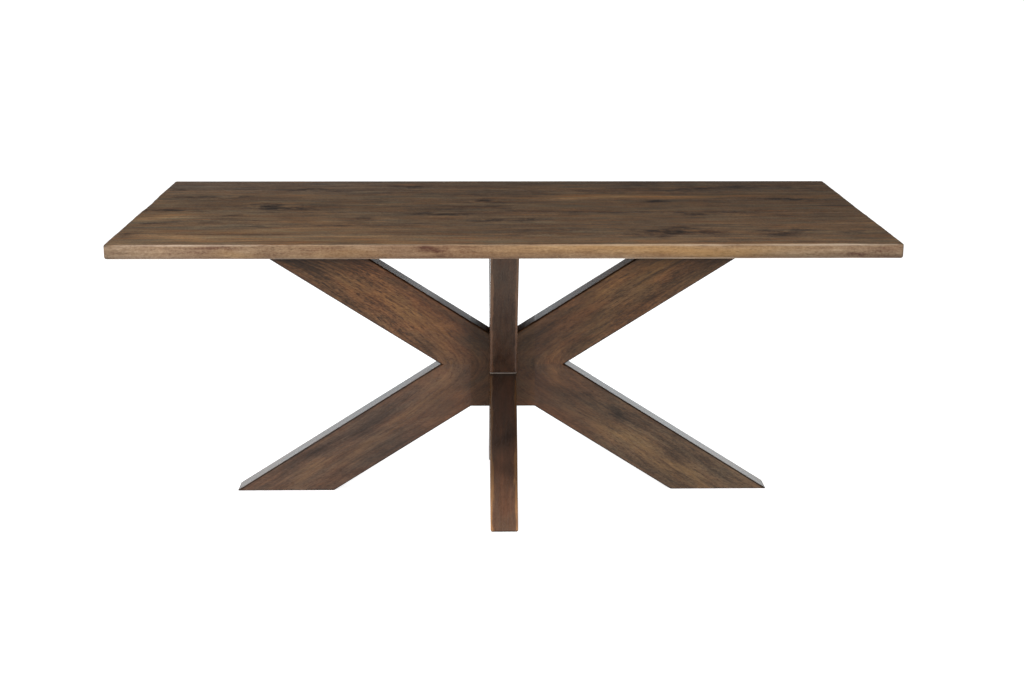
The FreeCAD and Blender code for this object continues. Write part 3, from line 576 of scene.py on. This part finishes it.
def top_wood():
    """Grey-brown oiled wood of the top, with golden places, dark knots and a paler sawn front edge."""
    material, graph = new_material("top_wood_finish")
    grain = graph.attribute("grain", "Vector")
    dark, gold, knot, arris, rim, edge, seam = (
        graph.attribute(name) for name in ("dark", "gold", "knot", "arris", "rim", "edge", "seam"))
    layers = wood_layers(graph, grain, TOP_FIGURE, TOP_RINGS)
    streaks, mottle = layers["streaks"], layers["mottle"]
    broken = graph.total((layers["flecks"], 0.7), (mottle, 0.3))
    dark = graph.math("MULTIPLY", dark, graph.remap(broken, 0.36, 0.62, 1.9, 0.1))
    colour = graph.mix(edge, top_face(graph, grain, layers, gold, dark), sawn_edge(graph, layers, gold, dark))
    heart = graph.remap(graph.total((knot, 1.0), (mottle, 0.4)), 0.45, 1.0)
    colour = graph.pull_towards(colour, heart, 0.8, (34, 24, 19))
    ragged = graph.total((arris, 1.0), (layers["clouds"], -0.008), (streaks, -0.006))
    line = graph.remap(ragged, -0.001, -0.006)
    # Painted highlight, partly wear, on the front upper arris, and painted shade on the arrises at the ends
    # and the rear
    colour = graph.pull_towards(colour, line, graph.remap(rim, 0.0, 1.0, 0.0, 0.7), (196, 174, 150))
    colour = graph.pull_towards(colour, line, graph.remap(rim, 0.0, -1.0, 0.0, 0.75), (40, 30, 24))
    pores = graph.remap(layers["pores"], 0.58, 0.74)
    colour = graph.pull_towards(colour, pores, 0.5, (44, 31, 24))
    colour = graph.pull_towards(colour, graph.remap(seam, 0.0012, 0.0002), 0.7, (30, 21, 17))
    relief = graph.total((pores, -0.7), (streaks, 0.5), (layers["rings"], 0.15), (heart, -0.6))
    graph.principled(
        Base_Color=graph.vector("MULTIPLY", colour, graph.attribute("tone", "Vector")),
        Roughness=graph.total((mottle, 0.16), (pores, 0.2), (0.42, 1.0)),
        Specular_IOR_Level=0.2, Normal=graph.bump(relief, 0.0006, 0.7))
    return material


def stained_wood(name, colours, lines, gloss=0.16, open_pores=0.5, golden=(150, 108, 62), crease=0.0):
    """Dark stained and lacquered wood of the X frames.

    Colours run from dark to light, and lines follow the arrises. Gloss is the level of the mirror light,
    open_pores how dark the long pores are, golden the colour of the light places, and crease the strength of
    the pale line at the mitres and of the painted shade below it.
    """
    material, graph = new_material(name)
    grain = graph.attribute("grain", "Vector")
    dark, gold, arris, vivid, dull = (
        graph.attribute(layer) for layer in ("dark", "gold", "arris", "vivid", "dull"))
    layers = wood_layers(graph, grain, LIMB_FIGURE, LIMB_RINGS)
    streaks, clouds = layers["streaks"], layers["clouds"]
    dashes = graph.math("MULTIPLY", graph.remap(layers["dashes"], 0.54, 0.62), vivid)
    pores = graph.remap(layers["pores"], 0.58, 0.72)
    smudge = graph.math("MULTIPLY", dark, graph.remap(clouds, 0.25, 0.75, 1.4, 0.6))
    fine = graph.total((streaks, 0.6), (layers["grit"], 0.65), (-0.625, 1.0))
    shade = graph.figure(layers, LIMB_WEIGHTS)
    shade = graph.total((shade, 1.0), (fine, vivid), (smudge, -0.24), (gold, 0.09))
    colour = tinted(graph, grain, graph.ramp(shade, stops(SHADE_STEPS, colours)), *STAIN_TINT)
    colour = graph.pull_towards(colour, gold, graph.remap(streaks, 0.3, 0.7, 0.1, 0.55), golden)
    colour = graph.pull_towards(colour, dashes, open_pores, (34, 23, 18))
    colour = graph.pull_towards(colour, pores, 0.3, (30, 20, 16))
    # Lines on the arrises: pale wear on the short limbs, and on the long limbs and the hub a faint red line
    # and the painted dark line of shade and reflection
    for line_colour, reach, raggedness, strength in lines:
        ragged = graph.total((arris, 1.0), (layers["worn"], -raggedness), (raggedness / 2, 1.0))
        colour = graph.pull_towards(colour, graph.remap(ragged, reach, reach * 0.35), strength, line_colour)
    colour = graph.vector("MULTIPLY", colour, graph.attribute("tone", "Vector"))
    height = graph.parts(graph.place())[2]
    # Painted contact shadow on the feet, within 5 mm of the floor
    colour = graph.pull_towards(colour, graph.remap(height, 0.005, 0.001), 0.75, (26, 18, 15))
    # Painted shade in the crease just below the mitre, and a pale line at the mitre
    below = graph.remap(graph.distance(height, CREASE_SHADE_LEVEL), 0.005, 0.001)
    colour = graph.pull_towards(colour, below, crease, (36, 27, 22))
    pale_line = graph.remap(graph.distance(height, CREASE_LEVEL), 0.0016, 0.0006)
    colour = graph.pull_towards(colour, pale_line, crease, (153, 144, 136))
    relief = graph.total((pores, -0.5), (dashes, -0.5), (streaks, 0.35), (layers["rings"], 0.1))
    graph.principled(
        Base_Color=colour, Roughness=graph.total((clouds, 0.1), (dashes, 0.05), (dull, 0.45), (0.22, 1.0)),
        Specular_IOR_Level=gloss, Normal=graph.bump(relief, 0.00008, graph.math("MULTIPLY", vivid, 0.4)))
    return material


def raw_wood():
    """Plain pale wood of the hidden tongues, tenons and dowels."""
    material, graph = new_material("raw_wood_finish")
    streaks = graph.noise(graph.place(), (60.0, 220.0, 220.0), detail=4.0)
    graph.principled(
        Base_Color=graph.ramp(streaks, stops((0.3, 0.7), ((168, 128, 86), (206, 170, 124)))),
        Roughness=graph.remap(streaks, 0.2, 0.8, 0.6, 0.8), Normal=graph.bump(streaks, 0.0003, 0.4))
    return material


def coated_steel():
    """Black powder coat with its fine orange peel."""
    material, graph = new_material("coated_steel_finish")
    place = graph.place()
    peel = graph.noise(place, (900.0, 900.0, 900.0), detail=2.0)
    dust = graph.noise(place, (40.0, 40.0, 40.0), detail=4.0)
    graph.principled(
        Base_Color=graph.ramp(dust, stops((0.3, 0.75), ((20, 20, 21), (38, 37, 36)))),
        Roughness=graph.remap(dust, 0.2, 0.8, 0.42, 0.6), Normal=graph.bump(peel, 0.0003, 0.5))
    return material


def zinc_steel():
    """Zinc plated steel with turning marks and faint stains."""
    material, graph = new_material("zinc_steel_finish")
    place = graph.place()
    marks = graph.noise(place, (300.0, 300.0, 2600.0), detail=3.0)
    stains = graph.noise(place, (120.0, 120.0, 120.0), detail=4.0)
    graph.principled(
        Base_Color=graph.ramp(stains, stops((0.3, 0.7), ((150, 148, 140), (196, 197, 196)))), Metallic=1.0,
        Roughness=graph.remap(marks, 0.2, 0.8, 0.26, 0.46), Normal=graph.bump(marks, 0.0001, 0.4))
    return material


def refined(node, directions, step, extra_cuts=()):
    """A finer copy of a CAD node's mesh, its flat faces cut into a grid that can carry dents and tones."""
    mesh = bmesh.new()
    mesh.from_mesh(NODES[node].data)
    bmesh.ops.remove_doubles(mesh, verts=mesh.verts, dist=WELD)
    bmesh.ops.dissolve_limit(mesh, angle_limit=FLAT_ANGLE, verts=mesh.verts, edges=mesh.edges)
    cuts = list(extra_cuts)
    for direction in directions:
        reach = [vert.co.dot(direction) for vert in mesh.verts]
        cuts += [(direction, place) for place in np.arange(min(reach) + step, max(reach) - step / 2, step)]
    for direction, place in cuts:
        everything = mesh.verts[:] + mesh.edges[:] + mesh.faces[:]
        bmesh.ops.bisect_plane(
            mesh, geom=everything, dist=WELD, plane_co=direction * place, plane_no=direction)
    mesh.normal_update()
    return mesh


def dress(node, mesh, material, layers):
    """Turns a finished bmesh into the piece that stands for a CAD node."""
    data = bpy.data.meshes.new(f"{node}_timber")
    mesh.to_mesh(data)
    mesh.free()
    for name, values in layers.items():
        kind, field = ("FLOAT", "value") if values.ndim == 1 else ("FLOAT_VECTOR", "vector")
        layer = data.attributes.new(name, kind, "POINT")
        layer.data.foreach_set(field, values.astype(np.float32).ravel())
    data.shade_smooth()
    data.set_sharp_from_angle(angle=SHARP_ANGLE)
    data.materials.append(material)
    piece = bpy.data.objects.new(f"{node}_timber", data)
    bpy.context.scene.collection.objects.link(piece)
    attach(piece, BODY)
    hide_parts(node)


def positions(mesh):
    return np.array([vert.co for vert in mesh.verts])


def normals(mesh):
    return np.array([vert.normal for vert in mesh.verts])


def move(mesh, places):
    for vert, place in zip(mesh.verts, places):
        vert.co = place
    mesh.normal_update()


def painted(x, y, marks):
    """Sum of soft elongated marks at points of a face."""
    total = np.zeros_like(x)
    for mark_x, mark_y, half_length, half_width, strength in marks:
        along = (x - mark_x) / half_length
        wobble = half_width * MARK_WOBBLE * np.sin(along * MARK_BENDS + mark_x * MARK_PHASE)
        total += strength * np.exp(-along ** 2 - ((y - mark_y + wobble) / half_width) ** 2)
    return total


def knot_field(x, y):
    """1 in the heart of a knot, falling to 0 at its rim."""
    field = np.zeros_like(x)
    for knot_x, knot_y, half_length, half_width in TOP_KNOTS:
        distance = np.hypot((x - knot_x) / half_length, (y - knot_y) / half_width)
        field = np.maximum(field, 1 - distance)
    return field


def flow_round_knots(x, y):
    """How far the grain swerves across itself to pass round the knots."""
    swerve = np.zeros_like(x)
    for knot_x, knot_y, half_length, half_width in TOP_KNOTS:
        along = (x - knot_x) / (SWERVE_LENGTH * half_length)
        across = (y - knot_y) / (SWERVE_WIDTH * half_width)
        push = SWERVE_SHARE * half_width * np.tanh(across * SWERVE_STEEPNESS)
        swerve -= push * np.exp(-along ** 2 - across ** 2)
    return swerve


def washes_and_sheen(x, y):
    """Tint that the washes and the painted sheen give the top's face."""
    tint = np.ones((len(x), 3))
    for (x_start, x_reach), (y_start, y_reach), added in TOP_WASHES_AND_SHEEN:
        share = smooth((x - x_start) / x_reach) * smooth((y - y_start) / y_reach)
        tint *= 1 + share[:, None] * added
    return tint


class Board:
    """The points of one board of the top, and how they lie to its edges, seams and knots."""

    def __init__(self, number, low, high, true):
        self.number, self.true = number, true
        self.x, self.y, self.z = true.T
        self.middle = (low.y + high.y) / 2
        from_end, from_side = HALF_LENGTH - np.abs(self.x), HALF_WIDTH - np.abs(self.y)
        from_face = np.minimum(TOP_LEVEL - self.z, self.z - UNDER_LEVEL)
        self.arris = np.maximum(np.minimum(from_end, from_side), from_face)
        self.near_end = smooth(1 - from_end / WANDER_REACH)
        self.near_side = smooth(1 - from_side / WANDER_REACH)
        self.on_top = smooth((self.z - (TOP_LEVEL - TOP_ROUND)) / TOP_ROUND)
        self.on_front = smooth((EDGE_START - HALF_WIDTH - self.y) / EDGE_REACH)
        self.knot = knot_field(self.x, self.y)
        self.seam = np.full_like(self.y, NO_SEAM)
        if number > 1:
            self.seam = np.minimum(self.seam, self.y - low.y)
        if number < BOARD_COUNT:
            self.seam = np.minimum(self.seam, high.y - self.y)

    def worn(self, outward):
        """The points moved inwards by hand finish and wear, where outward holds their normals."""
        x, y, end, side = self.x, self.y, np.sign(self.x), np.sign(self.y)
        shortened = END_WANDER * ripple(y, END_WAVES, 1 + end)
        for hollow_end, middle, half_length, depth in END_HOLLOWS:
            shortened += (end == hollow_end) * depth * np.exp(-((y - middle) / half_length) ** 2)
        lean_x, lean_y = HOLLOW_LEAN
        hollows = ripple(x * lean_x + y * lean_y, LONG_HOLLOWS, 3) * ripple(y, CROSS_HOLLOWS, 4)
        grooves = smooth(1 - self.seam / SEAM_WIDTH)
        sunk = FACE_WANDER * hollows + KNOT_DEPTH * smooth(self.knot) + SEAM_DEPTH * grooves
        moved = self.true.copy()
        moved[:, 0] -= end * self.near_end * shortened
        moved[:, 1] -= side * self.near_side * SIDE_WANDER * ripple(x, SIDE_WAVES, 2 + side)
        moved[:, 2] -= self.on_top * sunk
        chips = ripple(x + y, FINE_CHIPS, 5 + self.number) * ripple(x - y, LONG_CHIPS, self.number)
        rounded = smooth(1 - self.arris / TOP_ROUND)
        return moved - outward * (ARRIS_WANDER * rounded * chips)[:, None]

    def grain(self):
        """Grain that runs along the board and round the knots."""
        pith_side, pith_depth = BOARD_PITH
        pith_y = self.middle + pith_side * (-1) ** self.number
        grain = self.true - np.array([BOARD_SHIFT * self.number, pith_y, UNDER_LEVEL - pith_depth])
        grain[:, 1] += flow_round_knots(self.x, self.y) + sway(self.x, TOP_SWAYS, self.number)
        return grain

    def rim(self):
        """Above 0 where the front upper arris has a painted highlight, partly wear, and below 0 where the
        arrises at the ends and the rear have a painted dark line of shade.
        """
        front, rear = (smooth(1 - (HALF_WIDTH + way * self.y) / WANDER_REACH) for way in (1, -1))
        return front * curve(self.x, RIM_LIGHT) - (self.near_end + rear)

    def tone(self):
        """Brightness and tint, of the face and of the front edge: the boards' own colour with painted shade
        towards the rear, the washes with their painted sheen, and painted shading up the front edge.
        """
        face = BOARD_TONES[self.number - 1] * washes_and_sheen(self.x, self.y)
        left, right = (curve(self.z - UNDER_LEVEL, shades) for shades in (LEFT_SHADES, RIGHT_SHADES))
        to_right = smooth((self.x - RIGHT_START) / RIGHT_REACH)
        bright = curve(self.x, EDGE_TONES) * (left * (1 - to_right) + right * to_right)
        tint = np.stack([np.ones_like(self.x), curve(self.x, EDGE_GREEN), curve(self.x, EDGE_BLUE)], axis=1)
        return face * (1 - self.on_front)[:, None] + tint * (bright * self.on_front)[:, None]

    def marks(self, face_marks, edge_marks):
        """Marks of the face and of the front edge, each on its own side of the arris."""
        on_face, on_edge = painted(self.x, self.y, face_marks), painted(self.x, self.z, edge_marks)
        return on_face * (1 - self.on_front) + on_edge * self.on_front


def board_piece(number, material):
    """One board of the top with its hand-finished open edges."""
    node = f"top_board_{number}"
    low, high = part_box(node)
    seam_cuts = [(Y_AXIS, low.y + SEAM_WIDTH), (Y_AXIS, high.y - SEAM_WIDTH)]
    mesh = refined(node, [Y_AXIS, X_AXIS, Z_AXIS], TOP_STEP, seam_cuts)
    board = Board(number, low, high, positions(mesh))
    move(mesh, board.worn(normals(mesh)))
    dress(node, mesh, material, {
        "grain": board.grain(), "dark": board.marks(TOP_MARKS, EDGE_MARKS),
        "gold": np.clip(board.marks(TOP_GOLD, EDGE_GOLD), 0, 1), "knot": board.knot * board.on_top,
        "arris": board.arris, "rim": board.rim(), "edge": board.on_front, "tone": board.tone(),
        "seam": board.seam})


class Limb:
    """An arm or leg of an X frame: its own directions along, across and through the stock."""

    def __init__(self, side, part, seed):
        self.node, self.seed = f"{side}_{part}", seed
        self.is_long = side in LONG_SIDES
        self.kind = f"long_{part}" if self.is_long else f"short_{part}"
        self.slope, self.width, notch = LONG_FRAME if self.is_long else SHORT_FRAME
        turn, rise = math.radians(TURNS[side]), Z_AXIS * WAYS[part]
        self.outward = Vector((math.cos(turn), math.sin(turn), 0))
        self.along = self.outward * math.cos(self.slope) + rise * math.sin(self.slope)
        self.across = self.outward * math.sin(self.slope) - rise * math.cos(self.slope)
        self.through = self.outward.cross(Z_AXIS)
        self.middle = notch * math.sin(self.slope) - self.width / 2

    def frame(self, places):
        """Points as along from the mitre, across from the middle of the stock's width, and through."""
        axes = np.array([self.along, self.across, self.through])
        own = (places - np.array([0, 0, MID_LEVEL])) @ axes.T
        own[:, 1] -= self.middle
        return own

    def grain(self, places):
        """Grain that runs along the stock, in arcs past the mitre and level at the upper end."""
        rise = places[:, 2] - MID_LEVEL
        along = rise / math.sin(self.slope)
        across = places @ np.array(self.outward) * math.sin(self.slope) - self.middle
        across -= np.hypot(rise, SWING_ROUND) * math.cos(self.slope)
        across -= BEND_SHARE * np.maximum(along - BEND_START, 0) ** 2
        across += sway(along, LIMB_SWAYS, self.seed)
        pith_side, pith_depth = LIMB_PITH
        through = places @ np.array(self.through)
        return np.stack([along + LIMB_SHIFT * self.seed, across + pith_side, through + pith_depth], axis=1)

    def tone(self, out, tint, mitre_tint):
        """Brightness on the way out from the table's middle, partly painted shade, with a tint at the mitre
        and one beyond.
        """
        bright = curve(out, BRIGHTNESS.get(self.node) or BRIGHTNESS[self.kind])
        beyond = smooth((out - TINT_START) / TINT_REACH)[:, None]
        return bright[:, None] * (beyond * tint + (1 - beyond) * mitre_tint)


def long_looks(limb, true, own, from_edge):
    """Vivid, dull and tone of a long limb."""
    out = true @ np.array(limb.outward)
    on_wide = smooth(from_edge / ARM_ROUND)
    start, strength = HUB_DULL.get(limb.node, NO_DULL)
    dull = strength * smooth((start - out) / DULL_REACH) * (1 - on_wide)
    underside = (1 - on_wide) * (own[:, 1] * limb.across.z < 0)
    shade = curve(UNDER_LEVEL - true[:, 2], END_SHADES) * (1 - UNDERSIDE_SHADE * underside)
    tone = limb.tone(out, np.array(LIMB_TINTS[limb.node]), HUB_TINT * MITRE_TINTS[limb.kind])
    return {"vivid": curve(out, VIVID[limb.node]) * on_wide, "dull": dull, "tone": tone * shade[:, None]}


def short_looks(limb, true, own, arris):
    """Arris, vivid, dull and tone of a short limb, whose wear is wider on one arris towards its end."""
    out = true @ np.array(limb.outward)
    wide = smooth((out - WIDE_START) / WIDE_REACH) * smooth(own[:, 2] / WIDE_SIDE)
    tint = np.array(LIMB_TINTS.get(limb.node, NO_TINT))
    return {"arris": arris * (1 - WIDE_WEAR * wide), "vivid": np.full_like(out, SHORT_VIVID),
            "dull": np.zeros_like(out), "tone": limb.tone(out, tint, HUB_TINT)}


def limb_piece(limb, material):
    """A limb with softened, slightly uneven arrises."""
    mesh = refined(limb.node, [limb.across, limb.through, limb.along], ARM_STEP)
    true = positions(mesh)
    own = limb.frame(true)
    along, across, through = own.T
    from_edge = np.maximum(limb.width / 2 - np.abs(across), 0)
    from_face = np.maximum(ARM_THICKNESS / 2 - np.abs(through), 0)
    arris = np.maximum(from_edge, from_face)
    chips = ripple(along, LIMB_CHIPS, limb.seed) * ripple(along, LIMB_SWELLS, limb.seed + 1)
    rounded = smooth(1 - arris / ARM_ROUND)
    move(mesh, true - normals(mesh) * (LIMB_WANDER * rounded * chips)[:, None])
    marks = painted(along, across, LIMB_MARKS.get(limb.node, ()))
    marks += painted(along, through, NARROW_MARKS.get(limb.node, ()))
    layers = {"grain": limb.grain(true), "arris": arris, "dark": np.maximum(marks, 0),
              "gold": np.maximum(-marks, 0)}
    looks = long_looks(limb, true, own, from_edge) if limb.is_long else short_looks(limb, true, own, arris)
    dress(limb.node, mesh, material, {**layers, **looks})


def hub_piece(material, right, left):
    """The upright hub block, whose figure and brightness run on from the long arms beside it."""
    mesh = refined("hub_block", [X_AXIS, Y_AXIS, Z_AXIS], ARM_STEP)
    true = positions(mesh)
    x, y, z = true.T
    from_face = ARM_THICKNESS / 2 - np.abs(y)
    dull = curve(np.abs(x), HUB_CUT_DULL) * smooth(from_face / ARM_ROUND)
    none = np.zeros_like(x)
    at_right = (x > 0)[:, None]
    right_tone_and_shading, left_tone_and_shading = (limb.tone(np.abs(x), HUB_TINT, HUB_TINT) for limb in (right, left))
    dress("hub_block", mesh, material, {
        "grain": np.where(at_right, right.grain(true), left.grain(true)),
        "arris": np.maximum(from_face, np.minimum(z - z.min(), z.max() - z)), "dark": none, "gold": none,
        "vivid": none + HUB_VIVID, "dull": dull, "tone": np.where(at_right, right_tone_and_shading, left_tone_and_shading)})


def white_floor():
    """White floor that runs out of the picture."""
    mesh = bmesh.new()
    bmesh.ops.create_grid(mesh, x_segments=FLOOR_CELLS, y_segments=FLOOR_CELLS, size=FLOOR_REACH)
    data = bpy.data.meshes.new("floor")
    mesh.to_mesh(data)
    mesh.free()
    floor = bpy.data.objects.new("floor", data)
    floor.location.z = LOW[2]
    bpy.context.scene.collection.objects.link(floor)
    material, graph = new_material("floor_white")
    graph.principled(
        Base_Color=(FLOOR_ALBEDO, FLOOR_ALBEDO, FLOOR_ALBEDO, 1.0), Roughness=FLOOR_ROUGHNESS,
        Specular_IOR_Level=0.0, Emission_Color=WHITE + (1.0,), Emission_Strength=FLOOR_GLOW)
    data.materials.append(material)


def room():
    """A soft room, white at the horizon and dim above it."""
    world = bpy.data.worlds.new("studio")
    world.use_nodes = True
    graph = Graph(world.node_tree)
    upward = graph.add("ShaderNodeTexCoord", {}).outputs["Generated"]
    colours = [(height, colour + (1.0,)) for height, colour in ROOM_COLOURS]
    light = graph.ramp(graph.parts(upward)[2], colours)
    sky = graph.add("ShaderNodeBackground", {"Color": light, "Strength": 1.0})
    graph.add("ShaderNodeOutputWorld", {"Surface": sky.outputs[0]})
    bpy.context.scene.world = world


def lamp(name, place, target, size, power, colour):
    """A large soft lamp that the camera can't see."""
    light = bpy.data.lights.new(name, "AREA")
    light.shape = "RECTANGLE"
    light.size, light.size_y = size
    light.energy = power
    light.color = colour
    holder = bpy.data.objects.new(name, light)
    holder.location = place
    holder.rotation_euler = (Vector(target) - Vector(place)).to_track_quat("-Z", "Y").to_euler()
    holder.visible_camera = False
    bpy.context.scene.collection.objects.link(holder)


def camera():
    """The photograph's own view."""
    pitch, yaw, roll = (math.radians(angle) for angle in (CAMERA_PITCH, CAMERA_YAW, CAMERA_ROLL))
    forward = Vector((math.sin(yaw) * math.cos(pitch), math.cos(yaw) * math.cos(pitch), -math.sin(pitch)))
    level = Vector((math.cos(yaw), -math.sin(yaw), 0))
    upward = level.cross(forward)
    right = level * math.cos(roll) + upward * math.sin(roll)
    upward = upward * math.cos(roll) - level * math.sin(roll)
    data = bpy.data.cameras.new("camera")
    data.sensor_fit = "HORIZONTAL"
    data.sensor_width = SENSOR_MM
    data.lens = FOCAL_PIXELS / PHOTO_WIDTH * SENSOR_MM
    data.clip_end = CAMERA_REACH
    eye = bpy.data.objects.new("camera", data)
    turn = Matrix((right, upward, -forward)).transposed()
    eye.matrix_world = Matrix.Translation(CAMERA_PLACE) @ turn.to_4x4()
    bpy.context.scene.collection.objects.link(eye)
    bpy.context.scene.camera = eye


def finish_hidden_nodes():
    """Materials for the joinery and the steel, which stay the CAD's own meshes."""
    finishes = {"joinery_wood": raw_wood(), "plate_steel": coated_steel(), "fastener_steel": zinc_steel()}
    for part in frame["record"]["subparts"]:
        if part["material_slot"] in finishes:
            for entry in NODES[part["node"]].material_slots:
                entry.material = finishes[part["material_slot"]]


def build():
    top = top_wood()
    for number in range(1, BOARD_COUNT + 1):
        board_piece(number, top)
    woods = {use: stained_wood(**finish) for use, finish in WOOD_FINISHES.items()}
    limbs = {}
    for seed, side in enumerate(TURNS, 1):
        for part in WAYS:
            limb = Limb(side, part, seed)
            limb_piece(limb, woods[limb.kind])
            limbs[limb.node] = limb
    hub_piece(woods["hub"], limbs["right_upper_arm"], limbs["left_upper_arm"])
    finish_hidden_nodes()
    white_floor()
    room()
    for name, settings in LAMPS.items():
        lamp(name, *settings)
    camera()
    bpy.context.scene.view_settings.view_transform = "Standard"


build()
